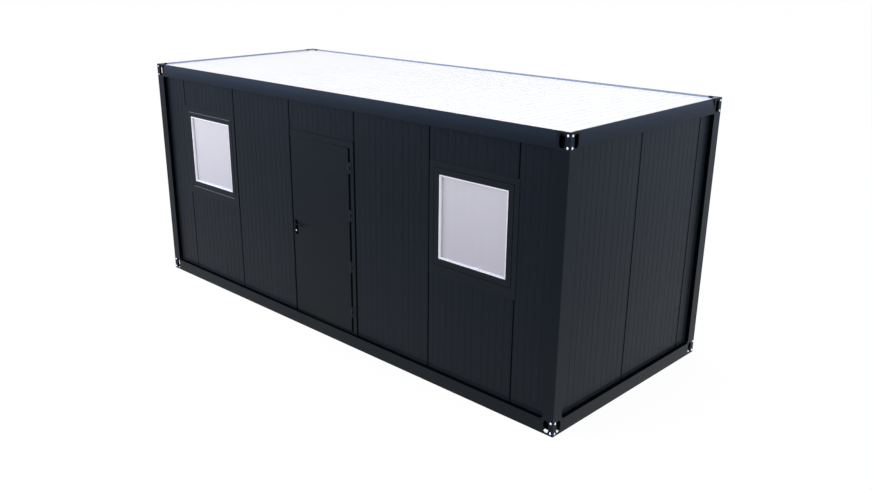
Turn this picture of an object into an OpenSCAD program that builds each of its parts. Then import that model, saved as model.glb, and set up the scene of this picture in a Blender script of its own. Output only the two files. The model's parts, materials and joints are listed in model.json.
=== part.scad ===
// Site cabin on a shipping container frame: a bolted steel frame with corner
// blocks, ribbed wall panels set back between its rails, two windows and a door.
// Origin at the middle of the base, +X along the cabin, -Y is the door side, +Z up.

/* [Cabin] */
// Length over the corner blocks
cabin_l = 6000; // [5800:50:7400]
// Width over the corner blocks
cabin_w = 2400; // [2200:50:3000]
// Height over the corner blocks
cabin_h = 2600; // [2500:10:2900]

/* [Steel frame] */
// Sheet thickness of the rails and posts
steel_t = 4; // [3:0.5:6]
// Height of the base rail
base_rail_h = 130; // [115:5:150]
// Width of the base rail's foot flange
base_foot_w = 60; // [40:5:90]
// Height of the roof rail
roof_rail_h = 140; // [130:5:160]
// How far the roof rail's bowed face leans in at its head
roof_bow = 14; // [6:1:20]
// Depth of the roof rail's shelf
roof_shelf_w = 60; // [40:5:80]
// Leg width of a corner post
post_w = 115; // [100:5:130]

/* [Corner blocks] */
// Length of a corner block along each wall
corner_l = 130; // [125:5:160]
// Height of a corner block
corner_h = 146; // [140:2:160]
// Plate thickness of a corner block
corner_t = 8; // [6:1:12]
// Width of a lifting slot
slot_w = 58; // [40:2:60]
// Height of a lifting slot
slot_h = 116; // [90:2:120]
// Land between a slot and the inner end of its corner block
slot_land = 23; // [10:1:30]

/* [Wall panels] */
// Panel thickness
panel_t = 60; // [40:5:80]
// Setback of the panels behind the frame
recess = 40; // [30:2:50]
// Module width of the door and of the end wall panels
panel_module = 1000; // [940:10:1100]
// Width of the strip at each end of a long wall
end_strip_w = 460; // [300:10:700]
// Open joint between two panels
joint_w = 12; // [6:1:14]
// Pitch of the pressed ribs
rib_pitch = 80; // [60:5:100]
// First rib from a panel's left seam
rib_first = 60; // [40:5:80]
// Number of ribs before the wide flat
rib_flat_after = 7; // [4:1:9]
// Extra width of the wide flat
rib_flat_extra = 40; // [0:5:60]
// Width of a pressed rib line
rib_w = 4; // [3:0.5:8]
// Depth of a pressed rib line
rib_d = 1.5; // [1:0.25:3]

/* [Windows] */
// Outer width of a window frame
window_w = 894; // [800:2:920]
// Outer height of a window frame
window_h = 894; // [800:2:1000]
// Land of the window's panel beside its frame
window_side = 53; // [50:1:90]
// Shift of a window from the middle of its panel, away from the door
window_shift = 10; // [0:1:14]
// Face width of a window frame
window_face = 57; // [40:1:80]
// Visible width of the inner sash
sash_w = 12; // [8:1:40]
// Shadow line between the window frame and its plate
window_gap = 4; // [2:0.5:6]
// Land of the plain plate beside a window frame
plate_side = 55; // [30:1:60]
// Land of the plain plate over a window frame
plate_over = 58; // [30:1:80]
// Land of the plain plate under a window frame
plate_under = 98; // [30:1:120]
// Thickness of the plain plate
plate_t = 4; // [2:0.5:6]
// Thickness of the double glazing
glass_t = 24; // [18:1:28]

/* [Door] */
// Height of the panel over the door, and of the wall over the window plates
lintel_h = 310; // [200:5:400]
// How far the door stands proud of the panels
door_proud = 10; // [6:1:14]
// Thickness of the door leaf
leaf_t = 45; // [40:1:50]
// Width of the open joint on the hinge side
hinge_gap = 30; // [26:1:36]
// Face width of the hinge jamb
hinge_jamb = 47; // [44:1:60]
// Face width of the lock jamb
lock_jamb = 7; // [6:1:14]
// Face height of the door head
door_head = 57; // [40:1:80]
// Height of the threshold
threshold_h = 17; // [12:1:20]
// Running clearance round the leaf
leaf_gap = 7; // [6:0.5:9]
// Height of one hinge
hinge_h = 110; // [90:2:140]
// Height of the lever above the base
lever_z = 1145; // [1000:5:1200]
// Distance of the lever from the leaf's lock edge
backset = 42; // [40:1:60]
// Length of the lever
lever_l = 130; // [100:5:150]

/* [Floor and roof] */
// Thickness of the floor deck
deck_t = 24; // [18:1:30]
// Spacing of the floor joists
joist_pitch = 1000; // [500:50:1200]
// Width of a floor joist
joist_w = 45; // [30:5:60]
// Thickness of the ceiling panel
ceiling_t = 50; // [30:5:60]
// Pitch of the roof sheet's ribs
roof_pitch = 100; // [80:5:150]
// Height of the roof sheet's ribs
roof_rib_h = 14; // [8:1:16]
// Thickness of the roof sheet
roof_t = 1.5; // [1:0.5:3]

/* [Hidden] */
$fn = 64;

// Colours of the finishes
paint = "#2b3038";
paint_light = "#3a404a";
white = "#f2f3f5";
black = "#111214";
zinc = "#b9bec4";
timber = "#8a7f70";
glass = "#c4c5d0";

// Clearance of pieces that lie beside each other
fit = 1;
// Clearance of a round piece in its hole
bore_fit = 0.3;

// Wall planes, measured inwards from the outer face of the frame
panel_out = recess;
panel_in = recess + panel_t;
wall_z0 = base_rail_h;
wall_z1 = cabin_h - roof_rail_h;
wall_h = wall_z1 - wall_z0;
front_half = cabin_l / 2 - panel_out;
end_half = cabin_w / 2 - panel_in;

// Seams of a long wall, from the door's middle outwards: door, plain panel, window panel, end strip
window_bay_w = window_w + 2 * window_side;
seam_door = panel_module / 2;
seam_window_out = front_half - end_strip_w;
seam_window_in = seam_window_out - window_bay_w;
long_seams = [
  -front_half, -seam_window_out, -seam_window_in, -seam_door,
  seam_door, seam_window_in, seam_window_out, front_half
];
// Seams of an end wall, whole panels first and the rest as a strip
end_seams = concat([for (y = -end_half; y < end_half; y = y + panel_module) y], [end_half]);

// Seal strips
seal_t = 4;
joint_seal_in = 20;
joint_seal_d = 30;
post_seal_t = 3;

// Lifting slots
slot_in = corner_l - slot_land - slot_w / 2;
slot_up = corner_h / 2;

// Window
door_top = wall_z1 - lintel_h;
window_x = (seam_window_in + seam_window_out) / 2 + window_shift;
window_z = door_top - plate_over - window_h / 2;
window_hole_w = window_w + 2 * window_gap;
window_hole_h = window_h + 2 * window_gap;
window_open_w = window_w - 2 * window_face;
window_open_h = window_h - 2 * window_face;
window_flange = 20;
window_flange_t = 5;
frame_proud = 6;
sash_set = 5;
glass_set = 25;

// Door
door_recess = recess - door_proud;
door_half = (panel_module - joint_w) / 2;
leaf_right = door_half - hinge_jamb - hinge_gap;
leaf_left = -door_half + lock_jamb + leaf_gap;
leaf_z0 = wall_z0 + threshold_h + leaf_gap;
leaf_z1 = door_top - door_head - leaf_gap;
leaf_in = door_recess + leaf_t;
seal_face = leaf_in + 5;
stop_face = seal_face + post_seal_t;
stop_overlap = 14;
hinge_overlap = 30;
hinge_x = leaf_right + hinge_gap / 2;
hinge_u = door_recess - 2;
knuckle_r = 9;
knuckle_h = hinge_h / 3;
hinge_pin_r = 4;
hinge_plate_t = 4;
hinge_plate_w = 14;
hinge_zs = [for (part = [0.115, 0.37, 0.65, 0.9]) leaf_z0 + part * (leaf_z1 - leaf_z0)];

// Lock and lever
lever_x = leaf_left + backset;
lock_plate_w = 38;
lock_plate_t = 4;
lock_plate_up = 40;
lock_plate_down = 118;
cylinder_down = 75;
cylinder_r = 8.5;
cylinder_proud = 3;
hub_r = 8;
lever_clear = 1;
lever_t = 8;
lever_h = 18;
spindle_r = 5;

// Roof and floor
roof_upstand = 22;
roof_edge = roof_bow + steel_t + fit;
shelf_z = cabin_h - roof_upstand - roof_rib_h - roof_t - steel_t;
underfloor_t = 2;

// Side 0 is the front, 1 the right end, 2 the back and 3 the left end.
// On a side, x runs along the wall, y inwards from the frame's outer face and z up.
function side_half(side) = side % 2 == 0 ? cabin_w / 2 : cabin_l / 2;
function side_run(side) = side % 2 == 0 ? cabin_l : cabin_w;

module on_side(side) {
  rotate([0, 0, 90 * side])
    translate([0, -side_half(side), 0])
      children();
}

// A profile drawn as inwards and up, run along a side
module run_along(from, to) {
  translate([from, 0, 0])
    rotate([90, 0, 90])
      linear_extrude(to - from)
        children();
}

// A shape drawn on the wall's face as along and up, run inwards
module run_inwards(from, to) {
  translate([0, to, 0])
    rotate([90, 0, 0])
      linear_extrude(to - from)
        children();
}

module span(x0, y0, x1, y1) {
  translate([x0, y0])
    square([x1 - x0, y1 - y0]);
}

module block(low, high) {
  translate(low)
    cube(high - low);
}

// Steel frame

module slot_outline() {
  round_r = slot_w / 2;
  half_straight = slot_h / 2 - round_r;
  translate([-round_r, -half_straight])
    square([slot_w, 2 * half_straight]);
  for (end = [-1, 1])
    translate([0, end * half_straight])
      circle(r = round_r);
}

// One base corner block at the corner where x and y are lowest
module corner_block() {
  seat_w = recess - steel_t;
  difference() {
    union() {
      cube([corner_l, corner_t, corner_h]);
      cube([corner_t, corner_l, corner_h]);
      translate([0, 0, corner_h - corner_t]) {
        cube([corner_l, seat_w, corner_t]);
        cube([seat_w, corner_l, corner_t]);
      }
    }
    translate([slot_in, corner_t + fit, slot_up])
      rotate([90, 0, 0])
        linear_extrude(corner_t + 2 * fit)
          slot_outline();
    translate([-fit, slot_in, slot_up])
      rotate([90, 0, 90])
        linear_extrude(corner_t + 2 * fit)
          slot_outline();
  }
}

// The two corners of one end: along is 0 for the left end and 1 for the right
module at_end_corners(along) {
  for (across = [0, 1])
    mirror([along, 0, 0])
      mirror([0, across, 0])
        translate([-cabin_l / 2, -cabin_w / 2, 0])
          children();
}

module at_corners() {
  for (along = [0, 1])
    at_end_corners(along)
      children();
}

module base_corners(along) {
  color(paint)
    at_end_corners(along)
      corner_block();
}

module roof_corners(along) {
  color(paint)
    translate([0, 0, cabin_h])
      mirror([0, 0, 1])
        at_end_corners(along)
          corner_block();
}

module post(along, across) {
  color(paint)
    mirror([along, 0, 0])
      mirror([0, across, 0])
        translate([-cabin_l / 2, -cabin_w / 2, corner_h])
          linear_extrude(cabin_h - 2 * corner_h) {
            square([post_w, steel_t]);
            square([steel_t, post_w]);
            translate([post_w - steel_t, 0])
              square([steel_t, panel_out]);
            translate([0, post_w - steel_t])
              square([panel_out, steel_t]);
          }
}

module base_rail_profile() {
  square([steel_t, base_rail_h]);
  square([base_foot_w, steel_t]);
  translate([0, base_rail_h - steel_t])
    square([panel_in, steel_t]);
}

module base_rail(side) {
  half_run = side_run(side) / 2 - corner_l;
  color(paint)
    on_side(side)
      run_along(-half_run, half_run)
        base_rail_profile();
}

// The round that bows the roof rail's face, set in from the outer arc
module roof_rail_round(inset) {
  bow_r = (roof_rail_h * roof_rail_h + roof_bow * roof_bow) / (2 * roof_bow);
  translate([bow_r, wall_z1])
    circle(r = bow_r - inset, $fn = 720);
}

// A face that stands upright at its foot and bows in towards its head, with a foot and a roof shelf
module roof_rail_profile() {
  intersection() {
    roof_rail_round(0);
    union() {
      difference() {
        span(0, wall_z1, roof_bow + 2 * steel_t, cabin_h);
        roof_rail_round(steel_t);
      }
      span(0, wall_z1, panel_in, wall_z1 + steel_t);
      span(0, shelf_z, roof_shelf_w, shelf_z + steel_t);
    }
  }
}

module roof_rail(side) {
  half_run = side_run(side) / 2 - corner_l;
  color(paint)
    on_side(side)
      run_along(-half_run, half_run)
        roof_rail_profile();
}

// Floor and roof

// A flat layer inside the frame
module layer(inset, low, thickness) {
  block([inset - cabin_l / 2, inset - cabin_w / 2, low],
        [cabin_l / 2 - inset, cabin_w / 2 - inset, low + thickness]);
}

// The sheet leaves the corner blocks open underneath
module underfloor_sheet() {
  notch = corner_l + fit;
  color(zinc)
    difference() {
      layer(steel_t + fit, steel_t, underfloor_t);
      at_corners()
        cube([notch, notch, steel_t + underfloor_t + fit]);
    }
}

module joist_profile() {
  low = steel_t + underfloor_t;
  high = base_rail_h - steel_t;
  span(0, low, steel_t, high);
  span(0, low, joist_w, low + steel_t);
  span(0, high - steel_t, joist_w, high);
}

module floor_joists() {
  half_count = floor((cabin_l / 2 - panel_in) / joist_pitch - 0.5);
  half_run = cabin_w / 2 - steel_t;
  color(zinc)
    for (i = [-half_count - 1 : half_count])
      translate([(i + 0.5) * joist_pitch + joist_w / 2, 0, 0])
        rotate([0, 0, 90])
          run_along(-half_run, half_run)
            joist_profile();
}

module floor_deck() {
  color(timber)
    layer(panel_in + fit, base_rail_h - steel_t, deck_t);
}

// The ceiling lies on the roof rails and leaves room behind the slots
module ceiling() {
  color(white)
    layer(recess, wall_z1 + steel_t, ceiling_t);
}

// The upper line of the ribbed roof sheet, one trapezium for each rib
function roof_line(count, start, rise) = [
  for (i = [0 : count - 1])
    for (point = [[0.2, 0], [0.3, 1], [0.7, 1], [0.8, 0]])
      [start + (i + point[0]) * roof_pitch, rise + point[1] * roof_rib_h]
];

// A ribbed sheet with its edges turned up inside the roof rails
module roof_sheet() {
  half_l = cabin_l / 2 - roof_edge;
  half_w = cabin_w / 2 - roof_edge;
  count = floor(2 * half_l / roof_pitch);
  start = -count * roof_pitch / 2;
  upper = roof_line(count, start, roof_t);
  lower = roof_line(count, start, 0);
  last = len(lower) - 1;
  outline = concat(
    [[-half_l, roof_t]], upper, [[half_l, roof_t], [half_l, 0]],
    [for (i = [0 : last]) lower[last - i]], [[-half_l, 0]]
  );
  sheet_z = shelf_z + steel_t;
  color(white) {
    translate([0, half_w, sheet_z])
      rotate([90, 0, 0])
        linear_extrude(2 * half_w)
          polygon(outline);
    difference() {
      block([-half_l, -half_w, sheet_z], [half_l, half_w, cabin_h - fit]);
      block([roof_t - half_l, roof_t - half_w, sheet_z - fit], [half_l - roof_t, half_w - roof_t, cabin_h]);
    }
  }
}

// Wall panels

// Plan of a panel between two seams, with its pressed rib lines
module panel_plan(from, to, seam) {
  rib_count = ceil((to - seam) / rib_pitch);
  difference() {
    span(from, panel_out, to, panel_in);
    for (i = [0 : rib_count - 1]) {
      x = seam + rib_first + i * rib_pitch + (i < rib_flat_after ? 0 : rib_flat_extra);
      if (x > from + rib_w && x < to - rib_w)
        polygon([[x - rib_w / 2, panel_out], [x + rib_w / 2, panel_out], [x, panel_out + rib_d]]);
    }
  }
}

// Panel number i of a wall: half a joint is left at each seam inside the wall
module panel(seams, i, z0 = wall_z0) {
  from = seams[i] + (i == 0 ? 0 : joint_w / 2);
  to = seams[i + 1] - (i == len(seams) - 2 ? 0 : joint_w / 2);
  translate([0, 0, z0])
    linear_extrude(wall_z1 - z0)
      panel_plan(from, to, seams[i]);
}

module all_panels(seams) {
  for (i = [0 : len(seams) - 2])
    panel(seams, i);
}

module front_panel(i, z0 = wall_z0) {
  color(paint)
    on_side(0)
      panel(long_seams, i, z0);
}

module window_panel(i, hand) {
  difference() {
    front_panel(i);
    on_side(0)
      run_inwards(panel_out - fit, panel_in + fit)
        window_outline(hand, window_hole_w, window_hole_h);
  }
}

module front_panels_left_end() {
  front_panel(0);
}

module front_panel_window_left() {
  window_panel(1, -1);
}

module front_panel_mid_left() {
  front_panel(2);
}

module door_lintel_panel() {
  front_panel(3, door_top);
}

module front_panel_mid_right() {
  front_panel(4);
}

module front_panel_window_right() {
  window_panel(5, 1);
}

module front_panels_right_end() {
  front_panel(6);
}

module back_wall_panels() {
  color(paint)
    on_side(2)
      all_panels(long_seams);
}

module right_wall_panels() {
  color(paint)
    on_side(1)
      all_panels(end_seams);
}

module left_wall_panels() {
  color(paint)
    mirror([1, 0, 0])
      on_side(1)
        all_panels(end_seams);
}

// Black seal strips

module wall_joint_seals(seams) {
  for (i = [1 : len(seams) - 2])
    block([seams[i] - joint_w / 2, panel_out + joint_seal_in, wall_z0],
          [seams[i] + joint_w / 2, panel_out + joint_seal_in + joint_seal_d, wall_z1]);
}

module joint_seals() {
  color(black) {
    for (side = [0, 2])
      on_side(side)
        wall_joint_seals(long_seams);
    for (hand = [0, 1])
      mirror([hand, 0, 0])
        on_side(1)
          wall_joint_seals(end_seams);
  }
}

module ledge_seal(from, to, depth) {
  block([from, steel_t, wall_z0], [to, depth, wall_z0 + seal_t]);
}

module ledge_seals() {
  front_run = cabin_l / 2 - corner_l;
  end_run = cabin_w / 2 - corner_l;
  on_side(0) {
    ledge_seal(-front_run, -panel_module / 2 - fit, panel_out);
    ledge_seal(-panel_module / 2, panel_module / 2, door_recess);
    ledge_seal(panel_module / 2 + fit, front_run, panel_out);
  }
  on_side(2)
    ledge_seal(-front_run, front_run, panel_out);
  for (side = [1, 3])
    on_side(side)
      ledge_seal(-end_run, end_run, panel_out);
}

module post_seals() {
  at_corners()
    translate([0, 0, corner_h])
      linear_extrude(cabin_h - 2 * corner_h) {
        translate([post_w, steel_t])
          square([post_seal_t, panel_out - steel_t]);
        translate([steel_t, post_w])
          square([panel_out - steel_t, post_seal_t]);
      }
}

module frame_seals() {
  color(black) {
    ledge_seals();
    post_seals();
  }
}

// Windows

module window_outline(hand, w, h) {
  translate([hand * window_x - w / 2, window_z - h / 2])
    square([w, h]);
}

module window_ring(hand, outer_w, outer_h, inner_w, inner_h) {
  difference() {
    window_outline(hand, outer_w, outer_h);
    window_outline(hand, inner_w, inner_h);
  }
}

module at_windows() {
  for (hand = [-1, 1])
    on_side(0) {
      $hand = hand;
      children();
    }
}

module window_plates() {
  color(paint)
    at_windows()
      run_inwards(panel_out - plate_t, panel_out)
        difference() {
          span($hand * window_x - window_w / 2 - plate_side, window_z - window_h / 2 - plate_under,
               $hand * window_x + window_w / 2 + plate_side, window_z + window_h / 2 + plate_over);
          window_outline($hand, window_hole_w, window_hole_h);
        }
}

module window_frames() {
  color(paint_light)
    at_windows() {
      run_inwards(panel_out - frame_proud, panel_in)
        window_ring($hand, window_w, window_h, window_open_w, window_open_h);
      run_inwards(panel_in, panel_in + window_flange_t)
        window_ring($hand, window_hole_w + 2 * window_flange, window_hole_h + 2 * window_flange,
                    window_open_w, window_open_h);
    }
}

module window_sashes() {
  color(white)
    at_windows()
      run_inwards(panel_out - frame_proud + sash_set, panel_in)
        window_ring($hand, window_open_w, window_open_h,
                    window_open_w - 2 * sash_w, window_open_h - 2 * sash_w);
}

module window_glass() {
  face = panel_out - frame_proud + sash_set + glass_set;
  color(glass)
    at_windows()
      run_inwards(face, face + glass_t)
        window_outline($hand, window_open_w - 2 * sash_w, window_open_h - 2 * sash_w);
}

// Door

module door_frame() {
  jamb_l = -door_half + lock_jamb;
  jamb_r = door_half - hinge_jamb;
  head = door_top - door_head;
  sill = wall_z0 + threshold_h;
  color(paint)
    on_side(0) {
      run_inwards(door_recess, panel_in)
        difference() {
          span(-door_half, wall_z0, door_half, door_top);
          span(jamb_l, sill, jamb_r, head);
        }
      run_inwards(stop_face, panel_in)
        difference() {
          span(jamb_l, sill, jamb_r, head);
          span(leaf_left + stop_overlap, sill, leaf_right - hinge_overlap, leaf_z1 - hinge_overlap);
        }
    }
}

module door_seal() {
  lip = 3;
  color(black)
    on_side(0)
      run_inwards(seal_face, stop_face)
        difference() {
          span(-door_half + lock_jamb, wall_z0 + threshold_h, door_half - hinge_jamb, door_top - door_head);
          span(leaf_left + stop_overlap - lip, wall_z0 + threshold_h,
               leaf_right - hinge_overlap + lip, leaf_z1 - hinge_overlap + lip);
        }
}

module knuckle(z0, z1, r) {
  translate([hinge_x, hinge_u, z0])
    cylinder(h = z1 - z0, r = r);
}

module frame_hinges() {
  color(zinc)
    on_side(0)
      for (z = hinge_zs) {
        low = z - hinge_h / 2;
        high = z + hinge_h / 2;
        for (foot = [low, high - knuckle_h + fit])
          knuckle(foot, foot + knuckle_h - fit, knuckle_r);
        knuckle(low, high, hinge_pin_r);
        for (foot = [low, high - knuckle_h + fit])
          block([hinge_x, door_recess - hinge_plate_t, foot],
                [hinge_x + hinge_gap / 2 + hinge_plate_w, door_recess, foot + knuckle_h - fit]);
      }
}

module leaf_hinges() {
  color(zinc)
    on_side(0)
      for (z = hinge_zs)
        difference() {
          union() {
            knuckle(z - knuckle_h / 2, z + knuckle_h / 2, knuckle_r);
            block([hinge_x - hinge_gap / 2 - hinge_plate_w, door_recess - hinge_plate_t, z - knuckle_h / 2],
                  [hinge_x, door_recess, z + knuckle_h / 2]);
          }
          knuckle(z - knuckle_h, z + knuckle_h, hinge_pin_r + bore_fit);
        }
}

// A round bar along the inward axis at the lever's place
module lock_bar(z, from, to, r) {
  translate([lever_x, to, z])
    rotate([90, 0, 0])
      cylinder(h = to - from, r = r);
}

module door_leaf() {
  color(paint)
    on_side(0)
      difference() {
        run_inwards(door_recess, leaf_in)
          span(leaf_left, leaf_z0, leaf_right, leaf_z1);
        lock_bar(lever_z, door_recess - fit, leaf_in + fit, hub_r + bore_fit);
        lock_bar(lever_z - cylinder_down, door_recess - fit, leaf_in + fit, cylinder_r + bore_fit);
      }
}

module lock_plate(from, to) {
  difference() {
    run_inwards(from, to)
      span(lever_x - lock_plate_w / 2, lever_z - lock_plate_down,
           lever_x + lock_plate_w / 2, lever_z + lock_plate_up);
    lock_bar(lever_z, from - fit, to + fit, hub_r + bore_fit);
    lock_bar(lever_z - cylinder_down, from - fit, to + fit, cylinder_r + bore_fit);
  }
}

module lock_plates() {
  color(black)
    on_side(0) {
      lock_plate(door_recess - lock_plate_t, door_recess);
      lock_plate(leaf_in, leaf_in + lock_plate_t);
    }
}

module lock_cylinder() {
  color(zinc)
    on_side(0)
      lock_bar(lever_z - cylinder_down, door_recess - lock_plate_t - cylinder_proud,
               leaf_in + lock_plate_t + cylinder_proud, cylinder_r);
}

// The flat arm of a lever, from one depth behind the frame's outer face to another
module lever_arm(from, to) {
  end_r = lever_h / 2;
  translate([lever_x, 0, lever_z])
    run_inwards(from, to) {
      circle(r = end_r);
      translate([0, -end_r])
        square([lever_l - end_r, lever_h]);
      translate([lever_l - end_r, 0])
        circle(r = end_r);
    }
}

// Two levers on one spindle, each as far from the leaf as the frame's face allows
module lever_handle() {
  reach = door_recess - lever_clear;
  outer = lever_clear;
  inner = leaf_in + reach;
  color(black)
    on_side(0) {
      lock_bar(lever_z, outer, inner, spindle_r);
      lock_bar(lever_z, outer, door_recess + lock_plate_t, hub_r);
      lock_bar(lever_z, leaf_in - lock_plate_t, inner, hub_r);
      lever_arm(outer, outer + lever_t);
      lever_arm(inner - lever_t, inner);
    }
}

base_corners(0);  // base_corners_left
base_corners(1);  // base_corners_right
roof_corners(0);  // roof_corners_left
roof_corners(1);  // roof_corners_right
post(0, 0);  // post_front_left
post(1, 0);  // post_front_right
post(0, 1);  // post_back_left
post(1, 1);  // post_back_right
base_rail(0);  // base_rail_front
base_rail(1);  // base_rail_right
base_rail(2);  // base_rail_back
base_rail(3);  // base_rail_left
roof_rail(0);  // roof_rail_front
roof_rail(1);  // roof_rail_right
roof_rail(2);  // roof_rail_back
roof_rail(3);  // roof_rail_left
underfloor_sheet();
floor_joists();
floor_deck();
ceiling();
roof_sheet();
front_panels_left_end();
front_panel_window_left();
front_panel_mid_left();
door_lintel_panel();
front_panel_mid_right();
front_panel_window_right();
front_panels_right_end();
right_wall_panels();
back_wall_panels();
left_wall_panels();
joint_seals();
frame_seals();
window_plates();
window_frames();
window_sashes();
window_glass();
door_frame();
door_seal();
frame_hinges();
door_leaf();
leaf_hinges();
lock_plates();
lock_cylinder();
lever_handle();
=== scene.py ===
# Looks of the container cabin: finishes, bolts, gaskets, lever, seals and inner trim.
# Metres, in the frame of the solids: +X along the cabin, -Y is the door side, +Z up.
import json
import math

import bmesh
import bpy
from mathutils import Matrix, Vector


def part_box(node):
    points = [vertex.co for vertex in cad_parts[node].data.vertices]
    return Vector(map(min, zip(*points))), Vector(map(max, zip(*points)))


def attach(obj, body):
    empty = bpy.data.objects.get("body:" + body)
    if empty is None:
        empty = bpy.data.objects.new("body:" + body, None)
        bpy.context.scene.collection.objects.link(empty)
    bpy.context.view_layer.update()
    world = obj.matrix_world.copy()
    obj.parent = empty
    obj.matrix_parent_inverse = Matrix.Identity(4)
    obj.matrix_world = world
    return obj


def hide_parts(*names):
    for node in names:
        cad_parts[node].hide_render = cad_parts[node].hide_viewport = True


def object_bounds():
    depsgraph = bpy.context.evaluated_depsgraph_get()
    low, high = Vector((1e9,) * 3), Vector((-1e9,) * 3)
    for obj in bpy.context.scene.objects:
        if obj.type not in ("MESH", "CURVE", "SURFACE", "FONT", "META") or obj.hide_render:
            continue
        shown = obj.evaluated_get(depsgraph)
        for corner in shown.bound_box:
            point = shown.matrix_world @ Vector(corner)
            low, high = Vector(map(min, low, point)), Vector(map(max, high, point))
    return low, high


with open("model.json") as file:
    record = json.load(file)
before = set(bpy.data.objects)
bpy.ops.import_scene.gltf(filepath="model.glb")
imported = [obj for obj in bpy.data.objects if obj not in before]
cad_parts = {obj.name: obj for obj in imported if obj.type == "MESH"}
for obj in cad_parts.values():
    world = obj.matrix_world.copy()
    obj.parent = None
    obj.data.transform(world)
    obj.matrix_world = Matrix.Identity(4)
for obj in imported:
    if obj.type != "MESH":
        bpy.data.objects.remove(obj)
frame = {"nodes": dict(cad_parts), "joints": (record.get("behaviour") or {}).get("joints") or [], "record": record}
cad_low, cad_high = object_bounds()

IMAGE_W, IMAGE_H = 872, 490
MM = 0.001

# Planes of the cabin, read from the solids
CABIN_L, CABIN_W, CABIN_H = cad_high - cad_low
ROOM_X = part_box("right_wall_panels")[0].x
ROOM_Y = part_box("back_wall_panels")[0].y
FLOOR_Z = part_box("floor_deck")[1].z
CEILING_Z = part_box("roof_rail_front")[0].z
PANEL_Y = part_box("front_panel_mid_left")[0].y
PANEL_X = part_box("right_wall_panels")[1].x
CORNER_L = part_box("base_rail_front")[0].x - cad_low.x
BASE_CORNER_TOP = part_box("base_corners_left")[1].z
LEDGE_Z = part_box("base_rail_front")[1].z
SHEET_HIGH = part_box("roof_sheet")[1]
LEAF_LOW, LEAF_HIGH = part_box("door_leaf")
FRAME_LOW, FRAME_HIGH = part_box("door_frame")
CORNERS = [(sx, sy) for sx in (-1, 1) for sy in (-1, 1)]


# Node trees

class Wiring:
    """Short calls that add nodes to one tree and link them as they are made."""

    def __init__(self, tree):
        self.tree = tree

    def node(self, kind, inputs=None, **properties):
        made = self.tree.nodes.new(kind)
        for name, value in properties.items():
            setattr(made, name, value)
        for name, value in (inputs or {}).items():
            self.feed(made.inputs[name], value)
        return made

    def feed(self, socket, value):
        if isinstance(value, bpy.types.NodeSocket):
            self.tree.links.new(value, socket)
        else:
            socket.default_value = value

    def math(self, operation, first, second=0.0):
        return self.node("ShaderNodeMath", {0: first, 1: second}, operation=operation).outputs[0]

    def ramp(self, value, low, high, to_low=0.0, to_high=1.0):
        ends = {"Value": value, "From Min": low, "From Max": high, "To Min": to_low, "To Max": to_high}
        return self.node("ShaderNodeMapRange", ends).outputs["Result"]

    def mix(self, factor, first, second):
        made = self.node("ShaderNodeMix", data_type="RGBA")
        self.feed(made.inputs[0], factor)
        self.feed(made.inputs[6], first)
        self.feed(made.inputs[7], second)
        return made.outputs[2]

    def scaled(self, color, value):
        return self.node("ShaderNodeHueSaturation", {"Color": color, "Value": value}).outputs[0]

    def noise(self, vector, scale, detail=2.0):
        inputs = {"Vector": vector, "Scale": scale, "Detail": detail}
        return self.node("ShaderNodeTexNoise", inputs).outputs[0]

    def stretched(self, vector, scale):
        return self.node("ShaderNodeMapping", {"Vector": vector, "Scale": scale}).outputs[0]

    def place(self):
        """The point on the piece at rest, in metres, which stays with the piece as it moves."""
        return self.node("ShaderNodeTexCoord").outputs["Object"]

    def axes(self, vector):
        return self.node("ShaderNodeSeparateXYZ", {0: vector}).outputs

    def group(self, tree, inputs):
        return self.node("ShaderNodeGroup", inputs, node_tree=tree).outputs


def new_group(name, inputs, outputs):
    """An empty shader group; gives its wiring, its input sockets and its output node."""
    tree = bpy.data.node_groups.new(name, "ShaderNodeTree")
    for socket, kind in inputs.items():
        tree.interface.new_socket(socket, in_out="INPUT", socket_type=kind)
    for socket, kind in outputs.items():
        tree.interface.new_socket(socket, in_out="OUTPUT", socket_type=kind)
    wiring = Wiring(tree)
    entry = wiring.node("NodeGroupInput")
    leave = wiring.node("NodeGroupOutput")
    return wiring, entry.outputs, leave


def close_group(wiring, leave, values):
    for name, value in values.items():
        wiring.feed(leave.inputs[name], value)
    return wiring.tree


COLOR, VALUE = "NodeSocketColor", "NodeSocketFloat"


def coat_skin_group():
    """A sprayed coat: slow drifts of tone, small changes of gloss and a fine orange peel."""
    w, given, leave = new_group(
        "coat_skin",
        {"Coat": COLOR, "Drift": VALUE, "Gloss low": VALUE, "Gloss high": VALUE},
        {"Color": COLOR, "Roughness": VALUE, "Peel": VALUE},
    )
    place = w.place()
    drift = w.ramp(w.noise(place, 0.9, 3.0), 0.3, 0.7)
    dark = w.scaled(given["Coat"], w.math("SUBTRACT", 1.0, given["Drift"]))
    light = w.scaled(given["Coat"], w.math("ADD", 1.0, given["Drift"]))
    color = w.mix(drift, dark, light)
    gloss = w.ramp(w.noise(place, 14.0, 4.0), 0.3, 0.7, given["Gloss low"], given["Gloss high"])
    return close_group(w, leave, {"Color": color, "Roughness": gloss, "Peel": w.noise(place, 420.0, 1.0)})


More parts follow.
